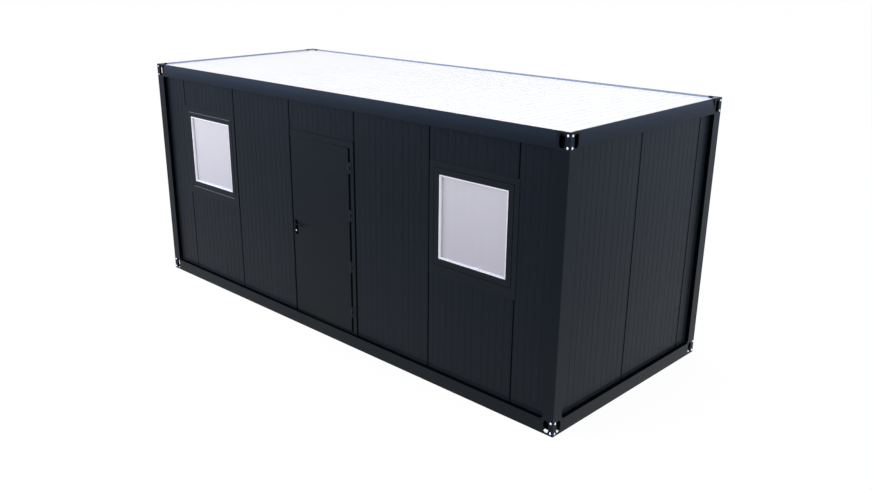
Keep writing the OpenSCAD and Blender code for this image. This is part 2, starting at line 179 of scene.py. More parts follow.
def inner_side_group():
    """Tells what lies inside an upright box from what lies outside it, and gives fine upright ribs."""
    w, given, leave = new_group(
        "inner_side",
        {"Half length": VALUE, "Half width": VALUE, "Top": VALUE},
        {"Mask": VALUE, "Ribs": VALUE},
    )
    x, y, z = w.axes(w.place())
    slack = 0.5 * MM
    in_length = w.math("LESS_THAN", w.math("ABSOLUTE", x), w.math("ADD", given["Half length"], slack))
    in_width = w.math("LESS_THAN", w.math("ABSOLUTE", y), w.math("ADD", given["Half width"], slack))
    under_top = w.math("LESS_THAN", z, w.math("ADD", given["Top"], slack))
    mask = w.math("MULTIPLY", w.math("MULTIPLY", in_length, in_width), under_top)
    rib_pitch = 0.1
    rib_slope = 3 * MM
    lines = [w.ramp(w.math("PINGPONG", axis, rib_pitch / 2), 0.0, rib_slope) for axis in (x, y)]
    return close_group(w, leave, {"Mask": mask, "Ribs": w.math("MULTIPLY", *lines)})


def dust_and_bounce_group():
    """A thin film of dust low on the cabin and in slow streaks, which is also painted light: it lightens the lower
    walls like light bounced from the ground.
    """
    w, given, leave = new_group("dust_and_bounce_light", {"Reach": VALUE, "Amount": VALUE}, {"Mask": VALUE})
    place = w.place()
    low = w.ramp(w.axes(place)[2], 0.0, given["Reach"], 1.0, 0.0)
    patches = w.ramp(w.noise(place, 3.0, 4.0), 0.2, 0.8, 0.6, 1.0)
    overlay = w.math("MULTIPLY", low, patches)
    return close_group(w, leave, {"Mask": w.math("MULTIPLY", overlay, given["Amount"])})


def fine_grain_group():
    """The close grain of moulded plastic, rubber or rolled zinc."""
    w, given, leave = new_group(
        "fine_grain", {"Base": COLOR, "Spread": VALUE, "Size": VALUE}, {"Color": COLOR, "Grain": VALUE}
    )
    place = w.place()
    grain = w.noise(place, given["Size"], 3.0)
    cloud = w.ramp(w.noise(place, 6.0, 3.0), 0.3, 0.7, w.math("SUBTRACT", 1.0, given["Spread"]), 1.0)
    return close_group(w, leave, {"Color": w.scaled(given["Base"], cloud), "Grain": grain})


COAT_SKIN = coat_skin_group()
INNER_SIDE = inner_side_group()
DUST_AND_BOUNCE = dust_and_bounce_group()
FINE_GRAIN = fine_grain_group()


# Finishes

def new_finish(name):
    """An empty material with its surface shader; gives the material, its wiring and the shader."""
    material = bpy.data.materials.new(name)
    material.use_nodes = True
    material.node_tree.nodes.clear()
    w = Wiring(material.node_tree)
    shader = w.node("ShaderNodeBsdfPrincipled")
    leave = w.node("ShaderNodeOutputMaterial")
    w.feed(leave.inputs["Surface"], shader.outputs[0])
    return material, w, shader


def raise_surface(w, shader, height, depth):
    bump = w.node("ShaderNodeBump", {"Height": height, "Distance": depth, "Strength": 1.0})
    w.feed(shader.inputs["Normal"], bump.outputs[0])


DUST_AND_BOUNCE_TONE = (0.17, 0.155, 0.11, 1.0)
# Black painted on the edges of the white sheets: painted shade, where the ceiling's edges show through the corner
# slots.
EDGE_SHADE_BLACK = (0.004, 0.004, 0.005, 1.0)
LINING = (0.74, 0.75, 0.76, 1.0)
# Blue grey painted on the turned-up rim of the roof sheet: painted shade and painted sky reflection on white
# sheet.
ROOF_RIM_SHADE = (0.25, 0.32, 0.52, 1.0)
RIM_SHADE_H = 17 * MM
RAIN_FILM = (0.45, 0.46, 0.48, 1.0)
PEEL_DEPTH = 0.02 * MM
DUST_AND_BOUNCE_REACH, DUST_AND_BOUNCE_AMOUNT = 1.6, 0.025
COAT_SPECULAR = 0.06
SHEET_SPECULAR = 0.04
COAT_TINT = (0.7, 0.82, 1.0, 1.0)


def inner_part(half_length, half_width, top):
    return {"Half length": half_length, "Half width": half_width, "Top": top}


def coated_steel(name, coat, drift, gloss, lined=False):
    """Anthracite coated steel; where lined, the faces that look into the room are white."""
    material, w, shader = new_finish(name)
    shader.inputs["Specular IOR Level"].default_value = COAT_SPECULAR
    shader.inputs["Specular Tint"].default_value = COAT_TINT
    skin = w.group(COAT_SKIN, {"Coat": coat, "Drift": drift, "Gloss low": gloss[0], "Gloss high": gloss[1]})
    # Partly painted light: this film lightens the lower walls like light bounced from the ground, as well as being
    # dust.
    overlay = w.group(DUST_AND_BOUNCE, {"Reach": DUST_AND_BOUNCE_REACH, "Amount": DUST_AND_BOUNCE_AMOUNT})
    color = w.mix(overlay["Mask"], skin["Color"], DUST_AND_BOUNCE_TONE)
    height = skin["Peel"]
    if lined:
        side = w.group(INNER_SIDE, inner_part(ROOM_X, ROOM_Y, CEILING_Z))
        color = w.mix(side["Mask"], color, LINING)
        rib_share = 20.0
        ribs = w.math("MULTIPLY", w.math("MULTIPLY", side["Mask"], side["Ribs"]), rib_share)
        height = w.math("ADD", height, ribs)
    w.feed(shader.inputs["Base Color"], color)
    w.feed(shader.inputs["Roughness"], skin["Roughness"])
    raise_surface(w, shader, height, PEEL_DEPTH)
    return material


def white_sheet(name, coat, gloss, streaks, white_part, rim_shade_part=None):
    """White coil-coated sheet with faint rain streaks; the top of its turned-up rim is painted blue grey as
    painted shade and sky reflection, and the edges round it are painted black as painted shade.
    """
    material, w, shader = new_finish(name)
    shader.inputs["Specular IOR Level"].default_value = SHEET_SPECULAR
    skin = w.group(COAT_SKIN, {"Coat": coat, "Drift": 0.01, "Gloss low": gloss[0], "Gloss high": gloss[1]})
    place = w.place()
    runs = w.noise(w.stretched(place, (1.0, 0.15, 1.0)), 9.0, 4.0)
    overlay = w.math("MULTIPLY", w.ramp(runs, 0.45, 0.8), streaks)
    color = w.mix(overlay, skin["Color"], RAIN_FILM)
    edge = EDGE_SHADE_BLACK
    if rim_shade_part:
        # Painted shade: the top band of the rim turns blue grey.
        above = w.math("GREATER_THAN", w.axes(place)[2], rim_shade_part["Top"] - RIM_SHADE_H)
        rim_shade = w.mix(above, color, ROOF_RIM_SHADE)
        edge = w.mix(w.group(INNER_SIDE, rim_shade_part)["Mask"], EDGE_SHADE_BLACK, rim_shade)
    side = w.group(INNER_SIDE, white_part)
    # Outside the mask the edges are painted black as painted shade.
    w.feed(shader.inputs["Base Color"], w.mix(side["Mask"], edge, color))
    w.feed(shader.inputs["Roughness"], skin["Roughness"])
    raise_surface(w, shader, skin["Peel"], PEEL_DEPTH)
    return material


def grained(name, base, spread, grain_size, grain_depth, roughness, specular=0.5, metallic=0.0):
    """A moulded or plated finish with a close grain."""
    material, w, shader = new_finish(name)
    shader.inputs["Metallic"].default_value = metallic
    shader.inputs["Specular IOR Level"].default_value = specular
    grain = w.group(FINE_GRAIN, {"Base": base, "Spread": spread, "Size": grain_size})
    rough = w.ramp(grain["Grain"], 0.3, 0.7, roughness[0], roughness[1])
    w.feed(shader.inputs["Base Color"], grain["Color"])
    w.feed(shader.inputs["Roughness"], rough)
    raise_surface(w, shader, grain["Grain"], grain_depth)
    return material


def sash_plastic():
    """White plastic whose outer face is painted lavender: painted shade on the faces of the sash."""
    white, overlay = (0.94, 0.94, 0.94, 1.0), (0.86, 0.865, 0.955, 1.0)
    material, w, shader = new_finish("sash_plastic")
    grain = w.group(FINE_GRAIN, {"Base": white, "Spread": 0.02, "Size": 300.0})
    face_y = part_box("window_sashes")[0].y + 0.5 * MM
    outer = w.math("LESS_THAN", w.axes(w.place())[1], face_y)
    # Painted shade: the outer face is lavender.
    w.feed(shader.inputs["Base Color"], w.mix(outer, grain["Color"], overlay))
    w.feed(shader.inputs["Roughness"], w.ramp(grain["Grain"], 0.3, 0.7, 0.28, 0.34))
    return material


def edge_glint_strip():
    """Grey strip with a painted highlight: dark when faced, painted pale when seen along the wall, as a glint on
    the frame's edge.
    """
    faced, along = (0.006, 0.008, 0.010, 1.0), (0.088, 0.087, 0.13, 1.0)
    slant_from, slant_to = 0.37, 0.45
    material, w, shader = new_finish("edge_glint_strip")
    shader.inputs["Specular IOR Level"].default_value = COAT_SPECULAR
    slant = w.node("ShaderNodeLayerWeight", {"Blend": 0.5}).outputs["Facing"]
    skin = w.group(COAT_SKIN, {"Coat": along, "Drift": 0.05, "Gloss low": 0.4, "Gloss high": 0.5})
    # Painted highlight: the strip turns pale when seen along the wall.
    color = w.mix(w.ramp(slant, slant_from, slant_to), faced, skin["Color"])
    w.feed(shader.inputs["Base Color"], color)
    w.feed(shader.inputs["Roughness"], skin["Roughness"])
    return material


def galvanised_sheet():
    """Galvanised steel with its zinc flowers."""
    dull, bright = (0.34, 0.36, 0.38, 1.0), (0.52, 0.54, 0.57, 1.0)
    material, w, shader = new_finish("galvanised_sheet")
    shader.inputs["Metallic"].default_value = 1.0
    flowers = w.node("ShaderNodeTexVoronoi", {"Vector": w.place(), "Scale": 60.0})
    tone = w.node("ShaderNodeRGBToBW", {0: flowers.outputs["Color"]}).outputs[0]
    w.feed(shader.inputs["Base Color"], w.mix(tone, dull, bright))
    w.feed(shader.inputs["Roughness"], w.ramp(tone, 0.0, 1.0, 0.38, 0.55))
    return material


def pale_pane():
    """Obscured double glazing: a pale pane, painted lighter towards its head as painted light, with faint upright
    bands.
    """
    foot, head = (0.435, 0.415, 0.495, 1.0), (0.54, 0.53, 0.60, 1.0)
    band_pitch = 0.05
    material, w, shader = new_finish("pale_pane")
    shader.inputs["Coat Roughness"].default_value = 0.05
    shader.inputs["Coat Weight"].default_value = 0.6
    pane_low, pane_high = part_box("window_glass")
    x, _, z = w.axes(w.place())
    # Painted light: the pane's colour rises from its foot to its head.
    painted_rise = w.ramp(z, pane_low.z, pane_high.z)
    bands = w.ramp(w.math("PINGPONG", x, band_pitch), 0.0, band_pitch, 0.985, 1.0)
    w.feed(shader.inputs["Base Color"], w.scaled(w.mix(painted_rise, foot, head), bands))
    w.feed(shader.inputs["Roughness"], w.ramp(w.noise(w.place(), 3.0), 0.3, 0.7, 0.28, 0.36))
    return material


def floor_cover():
    """Grey brown floor covering with a flecked wear layer."""
    dark, light, fleck = (0.20, 0.175, 0.145, 1.0), (0.29, 0.255, 0.21, 1.0), (0.38, 0.35, 0.31, 1.0)
    fleck_share = 0.35
    material, w, shader = new_finish("floor_cover")
    place = w.place()
    flecks = w.ramp(w.noise(place, 160.0, 3.0), 0.42, 0.6)
    boards = w.ramp(w.noise(w.stretched(place, (0.5, 7.0, 1.0)), 3.0), 0.3, 0.7)
    board = w.mix(boards, dark, light)
    w.feed(shader.inputs["Base Color"], w.mix(w.math("MULTIPLY", flecks, fleck_share), board, fleck))
    w.feed(shader.inputs["Roughness"], w.ramp(flecks, 0.0, 1.0, 0.42, 0.6))
    raise_surface(w, shader, flecks, 0.05 * MM)
    return material


FRAME_COAT = coated_steel("frame_coat", (0.0060, 0.0085, 0.0120, 1.0), 0.07, (0.29, 0.35))
ROOF_RAIL_COAT = coated_steel("roof_rail_coat", (0.0062, 0.0088, 0.0120, 1.0), 0.07, (0.40, 0.47))
PANEL_COAT = coated_steel("panel_coat", (0.0070, 0.0096, 0.0138, 1.0), 0.07, (0.33, 0.40), lined=True)
DOOR_COAT = coated_steel("door_coat", (0.0060, 0.0080, 0.0104, 1.0), 0.05, (0.36, 0.43), lined=True)
WINDOW_COAT = coated_steel("window_coat", (0.0084, 0.0106, 0.0130, 1.0), 0.05, (0.36, 0.43), lined=True)
# A bluer coat for the strip at the foot of the walls: painted shade for the darker band there.
FOOT_SHADE_COAT = coated_steel("foot_shade_coat", (0.0076, 0.0096, 0.0205, 1.0), 0.05, (0.33, 0.40))
SHADE_EDGE_W, RIM_T = 1 * MM, 1.5 * MM
RIM_SHADE_PART = inner_part(SHEET_HIGH.x - SHADE_EDGE_W, SHEET_HIGH.y - SHADE_EDGE_W, SHEET_HIGH.z)
SHEET_EDGE = SHADE_EDGE_W + RIM_T
ROOF_PART = inner_part(SHEET_HIGH.x - SHEET_EDGE, SHEET_HIGH.y - SHEET_EDGE, SHEET_HIGH.z)
ROOM_PART = inner_part(ROOM_X, ROOM_Y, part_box("ceiling")[0].z)
ROOF_COAT = (0.912, 0.905, 0.923, 1.0)
ROOF_WHITE = white_sheet("roof_white", ROOF_COAT, (0.42, 0.52), 0.012, ROOF_PART, RIM_SHADE_PART)
LINING_WHITE = white_sheet("lining_white", (0.78, 0.79, 0.80, 1.0), (0.46, 0.56), 0.0, ROOM_PART)
SASH_WHITE = grained("sash_white", (0.92, 0.92, 0.92, 1.0), 0.02, 300.0, 0.01 * MM, (0.28, 0.34))
SASH_FACE = sash_plastic()
EDGE_GLINT_STRIP = edge_glint_strip()
PANE = pale_pane()
RUBBER = grained("seal_rubber", (0.003, 0.003, 0.004, 1.0), 0.3, 500.0, 0.05 * MM, (0.85, 0.95), 0.0)
# Grey blue gaskets beside the panes: their tone is painted shade, the shaded line in the recess beside the pane.
SHADE_GASKET = grained("gasket_shade_grey", (0.46, 0.48, 0.62, 1.0), 0.1, 500.0, 0.03 * MM, (0.5, 0.6), 0.3)
BLACK = (0.0015, 0.0015, 0.002, 1.0)
PLATE_BLACK = grained("plate_black", BLACK, 0.2, 700.0, 0.02 * MM, (0.6, 0.7), 0.0)
HANDLE_BLACK = grained("handle_black", BLACK, 0.2, 700.0, 0.02 * MM, (0.30, 0.36), 0.03)
HINGE_GREY = grained("hinge_grey", (0.016, 0.017, 0.022, 1.0), 0.2, 500.0, 0.03 * MM, (0.40, 0.48), 0.06)
ZINC = grained("bright_zinc", (0.86, 0.87, 0.88, 1.0), 0.06, 260.0, 0.01 * MM, (0.22, 0.32), 0.5, 1.0)
GALVANISED = galvanised_sheet()
FLOOR_COVER = floor_cover()

FINISH_OF_SLOT = {
    "frame_paint": FRAME_COAT,
    "panel_paint": PANEL_COAT,
    "door_paint": DOOR_COAT,
    "window_paint": WINDOW_COAT,
    "roof_white": ROOF_WHITE,
    "ceiling_white": LINING_WHITE,
    "sash_white": SASH_FACE,
    "glazing": PANE,
    "black_seal": RUBBER,
    "black_handle": PLATE_BLACK,
    "hinge_grey": HINGE_GREY,
    "zinc": ZINC,
    "galvanised": GALVANISED,
    "floor_lining": FLOOR_COVER,
}

for subpart in frame["record"]["subparts"]:
    solid = frame["nodes"][subpart["node"]]
    solid.data.materials.clear()
    duller = subpart["node"].startswith(("roof_rail", "roof_corners"))
    finish = ROOF_RAIL_COAT if duller else FINISH_OF_SLOT[subpart["material_slot"]]
    solid.data.materials.append(finish)


# Rounded edges of the window frames

def round_edges(node, radius):
    """Rounds the sharp edges of a solid for the looks alone."""
    solid = frame["nodes"][node]
    weld = solid.modifiers.new("weld", "WELD")
    weld.merge_threshold = 0.01 * MM
    rounding = solid.modifiers.new("rounding", "BEVEL")
    rounding.width = radius
    rounding.segments = 2
    rounding.limit_method = "ANGLE"
    rounding.angle_limit = math.radians(40)
    rounding.harden_normals = True


round_edges("window_frames", 2.5 * MM)


# Making pieces

def finish_piece(mesh, name, finish, body="cabin", smooth_angle=30.0):
    """Turns a bmesh into a piece with its finish that rides on a body."""
    bmesh.ops.recalc_face_normals(mesh, faces=mesh.faces)
    data = bpy.data.meshes.new(name)
    mesh.to_mesh(data)
    mesh.free()
    data.materials.append(finish)
    data.shade_smooth()
    data.set_sharp_from_angle(angle=math.radians(smooth_angle))
    piece = bpy.data.objects.new(name, data)
    bpy.context.scene.collection.objects.link(piece)
    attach(piece, body)
    return piece


def turn(mesh, profile, segments, at):
    """A turned shape: profile is a list of radius and height, at places its axis."""
    rings = []
    for radius, height in profile:
        angles = [2 * math.pi * i / segments for i in range(segments)]
        points = [at @ Vector((radius * math.cos(a), radius * math.sin(a), height)) for a in angles]
        rings.append([mesh.verts.new(p) for p in points])
    for low, high in zip(rings, rings[1:]):
        for i in range(segments):
            j = (i + 1) % segments
            mesh.faces.new((low[i], low[j], high[j], high[i]))
    mesh.faces.new(reversed(rings[0]))
    mesh.faces.new(rings[-1])


def facing(point, normal):
    """A frame at a point whose Z axis is the normal."""
    return Matrix.Translation(point) @ Vector(normal).to_track_quat("Z", "Y").to_matrix().to_4x4()


def sweep(mesh, section, frames, closed=False):
    """A section, a list of 2-D points, carried along a list of frames."""
    rings = [[mesh.verts.new(at @ Vector((u, v, 0.0))) for u, v in section] for at in frames]
    count = len(section)
    pairs = list(zip(rings, rings[1:]))
    if closed:
        pairs.append((rings[-1], rings[0]))
    for low, high in pairs:
        for i in range(count):
            j = (i + 1) % count
            mesh.faces.new((low[i], low[j], high[j], high[i]))
    if not closed:
        mesh.faces.new(reversed(rings[0]))
        mesh.faces.new(rings[-1])


def bevelled_box(mesh, low, high, bevel):
    """A box with rounded edges."""
    part = bmesh.new()
    bmesh.ops.create_cube(part, size=1.0)
    size = Vector(high) - Vector(low)
    centre = (Vector(high) + Vector(low)) / 2
    at = Matrix.Translation(centre) @ Matrix.Diagonal((*size, 1.0))
    bmesh.ops.transform(part, matrix=at, verts=part.verts)
    bmesh.ops.bevel(part, geom=part.edges[:], offset=bevel, segments=2, profile=0.5, affect="EDGES")
    spare = bpy.data.meshes.new("spare")
    part.to_mesh(spare)
    part.free()
    mesh.from_mesh(spare)
    bpy.data.meshes.remove(spare)


def corner_box(mesh, corner, along, across, levels, bevel):
    """A box at one corner of the cabin: along and across are distances from its middle."""
    low_x, high_x = sorted(corner[0] * v for v in along)
    low_y, high_y = sorted(corner[1] * v for v in across)
    bevelled_box(mesh, (low_x, low_y, levels[0]), (high_x, high_y, levels[1]), bevel)


def millimetres(profile):
    return [(u * MM, v * MM) for u, v in profile]


# Bolts of the corner blocks

BOLT_IN = 25 * MM
BOLT_UP = (26 * MM, 122 * MM)
WASHER = [(10.0, 0.0), (10.0, 1.2), (9.2, 1.8), (7.2, 1.8)]
HEAD = [(8.4, 1.8), (8.4, 4.2), (7.4, 5.4), (4.2, 5.8)]


def add_bolt(mesh, point, normal):
    at = facing(point, normal)
    turn(mesh, millimetres(WASHER), 20, at)
    turn(mesh, millimetres(HEAD), 6, at)


def corner_bolts(name, sx, roof):
    """The bolts of the two corner blocks at one end, two on each outer face."""
    mesh = bmesh.new()
    for sy in (-1, 1):
        for up in BOLT_UP:
            z = cad_high.z - up if roof else up
            x = sx * (CABIN_L / 2 - BOLT_IN)
            y = sy * (CABIN_W / 2 - BOLT_IN)
            add_bolt(mesh, (x, sy * CABIN_W / 2, z), (0, sy, 0))
            add_bolt(mesh, (sx * CABIN_L / 2, y, z), (sx, 0, 0))
    return finish_piece(mesh, name, ZINC)


for hand, sx in (("left", -1), ("right", 1)):
    corner_bolts(f"base_bolts_{hand}", sx, False)
    corner_bolts(f"roof_bolts_{hand}", sx, True)


# Shade pads, plugs and drain caps at the corners

SHADE_PAD_IN, SHADE_PAD_L, SHADE_PAD_T = 74 * MM, 206 * MM, 3 * MM


def ground_shade_pads():
    """Black pads on the ground at the corners, seen through the lower slots: painted shade for the shaded ground
    under the cabin.
    """
    mesh = bmesh.new()
    along = (CABIN_L / 2 - SHADE_PAD_IN, CABIN_L / 2 - SHADE_PAD_IN - SHADE_PAD_L)
    across = (CABIN_W / 2 - SHADE_PAD_IN, CABIN_W / 2 - SHADE_PAD_IN - SHADE_PAD_L)
    for corner in CORNERS:
        corner_box(mesh, corner, along, across, (cad_low.z, cad_low.z + SHADE_PAD_T), 1 * MM)
    finish_piece(mesh, "ground_shade_pads", RUBBER)


PLUG_DEEP, PLUG_T = 12 * MM, 4 * MM


def corner_plugs():
    """Black plugs that close the corner blocks where the ledge of the base rail runs into them."""
    mesh = bmesh.new()
    levels = (LEDGE_Z - PLUG_DEEP, BASE_CORNER_TOP - PLUG_T)
    block_x, block_y = CABIN_L / 2 - CORNER_L, CABIN_W / 2 - CORNER_L
    for corner in CORNERS:
        skirt = (-PANEL_Y, CABIN_W / 2 - PLUG_T)
        corner_box(mesh, corner, (block_x, block_x + PLUG_T), skirt, levels, 0.5 * MM)
        skirt = (PANEL_X, CABIN_L / 2 - PLUG_T)
        corner_box(mesh, corner, skirt, (block_y, block_y + PLUG_T), levels, 0.5 * MM)
    finish_piece(mesh, "corner_plugs", RUBBER)


DRAIN_FROM, DRAIN_TO = 80 * MM, 122 * MM
DRAIN_T, DRAIN_H = 6 * MM, 15 * MM


def roof_drains():
    """Black drain caps at the ends of the turned-up roof edges, beside the corner blocks."""
    mesh = bmesh.new()
    face_x, face_y = SHEET_HIGH.x - RIM_T, SHEET_HIGH.y - RIM_T
    levels = (SHEET_HIGH.z - DRAIN_H, SHEET_HIGH.z)
    for corner in CORNERS:
        along = (CABIN_L / 2 - DRAIN_FROM, CABIN_L / 2 - DRAIN_TO)
        corner_box(mesh, corner, along, (face_y - DRAIN_T, face_y), levels, 1 * MM)
        across = (CABIN_W / 2 - DRAIN_FROM, CABIN_W / 2 - DRAIN_TO)
        corner_box(mesh, corner, (face_x - DRAIN_T, face_x), across, levels, 1 * MM)
    finish_piece(mesh, "roof_drains", RUBBER)


ground_shade_pads()
corner_plugs()
roof_drains()


# Lever set of the door

JOINT_AT = {joint["name"]: joint["pos_m"] for joint in frame["joints"]}
LEVER_X, _, LEVER_Z = JOINT_AT["door_lever"]
LEVER_LOW, LEVER_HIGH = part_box("lever_handle")
PLATE_LOW, PLATE_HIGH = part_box("lock_plates")
NECK_R = 7.5 * MM
ARM_HALF_H, ARM_HALF_T = 8.5 * MM, 4.5 * MM
ARM_BEND = 10 * MM


def add_lever(mesh, face_y, end_y):
    """One lever: a round neck out of the leaf, a bend, and an oval arm with a rounded tip."""
    out = math.copysign(1.0, end_y - face_y)
    arm_y = end_y - out * ARM_HALF_T
    bend_y = arm_y - out * ARM_BEND
    tip_x = LEVER_HIGH.x
    quarter = math.pi / 2
    stations = [(LEVER_X, face_y, 0.0, NECK_R, NECK_R)]
    bend_steps = 8
    for step in range(bend_steps + 1):
        share = step / bend_steps
        angle = share * quarter
        stations.append((
            LEVER_X + ARM_BEND * (1 - math.cos(angle)),
            bend_y + out * ARM_BEND * math.sin(angle),
            angle,
            NECK_R + share * (ARM_HALF_H - NECK_R),
            NECK_R + share * (ARM_HALF_T - NECK_R),
        ))
    for share in (0.0, 0.5, 0.8, 0.95):
        left = math.sqrt(1 - share * share)
        x = tip_x - ARM_HALF_H * (1 - share)
        stations.append((x, arm_y, quarter, ARM_HALF_H * left, ARM_HALF_T * left))
    frames = []
    for x, y, angle, half_h, half_t in stations:
        at = Matrix.Identity(4)
        at.col[0] = (0.0, 0.0, half_h, 0.0)
        at.col[1] = (half_t * math.cos(angle), -half_t * out * math.sin(angle), 0.0, 0.0)
        at.col[3] = (x, y, LEVER_Z, 1.0)
        frames.append(at)
    sides = 20
    angles = [2 * math.pi * i / sides for i in range(sides)]
    sweep(mesh, [(math.cos(a), math.sin(a)) for a in angles], frames)


def door_levers():
    mesh = bmesh.new()
    middle_y = (LEAF_LOW.y + LEAF_HIGH.y) / 2
    add_lever(mesh, middle_y, LEVER_LOW.y)
    add_lever(mesh, middle_y, LEVER_HIGH.y)
    levers = finish_piece(mesh, "door_levers", HANDLE_BLACK, "lever", 50.0)
    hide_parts("lever_handle")


SCREW = [(4.2, 0.0), (4.2, 0.5), (3.2, 1.3), (1.2, 1.5)]
SCREW_IN = 9 * MM


def plate_screws():
    """Four domed screws that hold the lock plates, outside and inside."""
    mesh = bmesh.new()
    for z in (PLATE_LOW.z + SCREW_IN, PLATE_HIGH.z - SCREW_IN):
        for y, out in ((PLATE_LOW.y, -1), (PLATE_HIGH.y, 1)):
            turn(mesh, millimetres(SCREW), 16, facing((LEVER_X, y, z), (0, out, 0)))
    finish_piece(mesh, "plate_screws", HANDLE_BLACK, "door")


HINGE_COUNT = 4
CAP = [(9.0, 0.0), (9.0, 1.5), (7.6, 3.4), (4.5, 4.6), (1.5, 5.0)]


def hinge_caps():
    """A domed cap on both ends of each hinge, found as the ends of the stacks of knuckles."""
    hinge_x, hinge_y, _ = JOINT_AT["door_hinge"]
    knuckles = frame["nodes"]["frame_hinges"].data.vertices
    levels = sorted({round(vertex.co.z, 4) for vertex in knuckles})
    mesh = bmesh.new()
    ends_per_hinge = len(levels) // HINGE_COUNT
    for first in range(0, len(levels), ends_per_hinge):
        for z, up in ((levels[first], -1), (levels[first + ends_per_hinge - 1], 1)):
            turn(mesh, millimetres(CAP), 24, facing((hinge_x, hinge_y, z), (0, 0, up)))
    finish_piece(mesh, "hinge_caps", HINGE_GREY)


door_levers()
plate_screws()
hinge_caps()


# Windows

def half_box(node, hand):
    """Lowest and highest corner of what a node has on one half of the cabin."""
    points = [v.co for v in frame["nodes"][node].data.vertices if v.co.x * hand > 0]
    low = Vector([min(p[i] for p in points) for i in range(3)])
    high = Vector([max(p[i] for p in points) for i in range(3)])
    return low, high


def picture_frame(mesh, low, high, profile):
    """A mitred frame just inside a rectangle: profile is a closed list of inset and y."""
    rings = []
    for inset, y in profile:
        x0, x1, z0, z1 = low.x + inset, high.x - inset, low.z + inset, high.z - inset
        corners = ((x0, z0), (x1, z0), (x1, z1), (x0, z1))
        rings.append([mesh.verts.new((x, y, z)) for x, z in corners])
    for first, second in zip(rings, rings[1:] + rings[:1]):
        for i in range(4):
            j = (i + 1) % 4
            mesh.faces.new((first[i], first[j], second[j], second[i]))


GASKET_W, GASKET_T = 4 * MM, 3 * MM
BEAD_W, BEAD_LIP = 14 * MM, 2 * MM
STRIP_W, STRIP_T, STRIP_IN = 10 * MM, 0.6 * MM, 50 * MM
STRIP_DOWN, STRIP_UP = 29 * MM, 16 * MM


def window_trim():
    """Grey blue gaskets outside in a tone of painted shade, white beads and a turn handle inside, and strips of
    painted highlight on the dark frames.
    """
    gaskets, beads, handles, strips = bmesh.new(), bmesh.new(), bmesh.new(), bmesh.new()
    for hand in (-1, 1):
        low, high = half_box("window_glass", hand)
        front = low.y - GASKET_T
        gasket = [(0.0, low.y), (0.0, front), (0.6 * GASKET_W, front), (GASKET_W, low.y)]
        picture_frame(gaskets, low - Vector((0.0, 0.0, GASKET_W)), high, gasket)
        room_y = half_box("window_sashes", hand)[1].y
        bead = [(0.0, high.y), (0.0, room_y), (0.4 * BEAD_W, room_y)]
        bead += [(BEAD_W, high.y + BEAD_LIP), (BEAD_W, high.y)]
        picture_frame(beads, low, high, bead)
        add_window_handle(handles, hand, low, high)
        edge_low, edge_high = half_box("window_frames", hand)
        for z in (edge_high.z - STRIP_DOWN, edge_low.z + STRIP_UP):
            strip_low = (edge_low.x + STRIP_IN, edge_low.y - STRIP_T, z - STRIP_W / 2)
            strip_high = (edge_high.x - STRIP_IN, edge_low.y, z + STRIP_W / 2)
            bevelled_box(strips, strip_low, strip_high, STRIP_T / 2)
    # These strips carry a painted highlight.
    finish_piece(strips, "frame_glint_strips", EDGE_GLINT_STRIP, smooth_angle=15.0)
    # The gaskets' grey blue is painted shade.
    finish_piece(gaskets, "window_gaskets", SHADE_GASKET)
    finish_piece(beads, "glazing_beads", SASH_WHITE)
    finish_piece(handles, "window_handles", SASH_WHITE, smooth_angle=40.0)


HANDLE_BASE = Vector((15 * MM, 0.0, 35 * MM))
HANDLE_SEAT = Vector((0.0, 9 * MM, 0.0))
HANDLE_NECK = [(9, 0), (9, 16), (7, 18)]
HANDLE_ARM = Vector((-9 * MM, 22 * MM, -115 * MM)), Vector((9 * MM, 31 * MM, 12 * MM))


def add_window_handle(mesh, hand, low, high):
    """A rounded base on the inner flange beside the pane, with an arm that hangs down."""
    flange_low, flange_high = half_box("window_frames", hand)
    side_x = (low.x + flange_low.x) / 2 if hand > 0 else (high.x + flange_high.x) / 2
    mid_z = (low.z + high.z) / 2
    seat = Vector((side_x, flange_high.y, mid_z))
    bevelled_box(mesh, seat - HANDLE_BASE, seat + HANDLE_BASE + HANDLE_SEAT, 3 * MM)
    turn(mesh, millimetres(HANDLE_NECK), 20, facing(seat + HANDLE_SEAT, (0, 1, 0)))
    bevelled_box(mesh, seat + HANDLE_ARM[0], seat + HANDLE_ARM[1], 4 * MM)


window_trim()


# Trim of the room

PANEL_ROW = (
    "front_panels_left_end", "front_panel_window_left", "front_panel_mid_left", "door_lintel_panel",
    "front_panel_mid_right", "front_panel_window_right", "front_panels_right_end",
)
JOINT_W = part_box(PANEL_ROW[1])[0].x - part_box(PANEL_ROW[0])[1].x
LONG_SEAMS = [(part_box(a)[1].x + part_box(b)[0].x) / 2 for a, b in zip(PANEL_ROW, PANEL_ROW[1:])]
END_MODULE = 1.0
END_SEAMS = (END_MODULE - ROOM_Y, 2 * END_MODULE - ROOM_Y)
SKIRTING = [(0, 0), (11, 0), (11, 50), (9, 57), (5, 60), (0, 60)]
COVE = [(0, 0), (0, -24), (8, -19), (19, -8), (24, 0)]
CORNER_TRIM = [(0, 0), (26, 0), (20, 7), (7, 20), (0, 26)]
JOINT_COVER = [(-22, 0), (22, 0), (19, 3), (-19, 3)]


def add_strip(mesh, section, start, end, across, up):
    """A straight strip: section is given in mm as across and up from the line between start and end."""
    frames = []
    for point in (start, end):
        at = Matrix.Identity(4)
        at.col[0] = (*across, 0.0)
        at.col[1] = (*up, 0.0)
        at.col[3] = (*point, 1.0)
        frames.append(at)
    sweep(mesh, millimetres(section), frames)


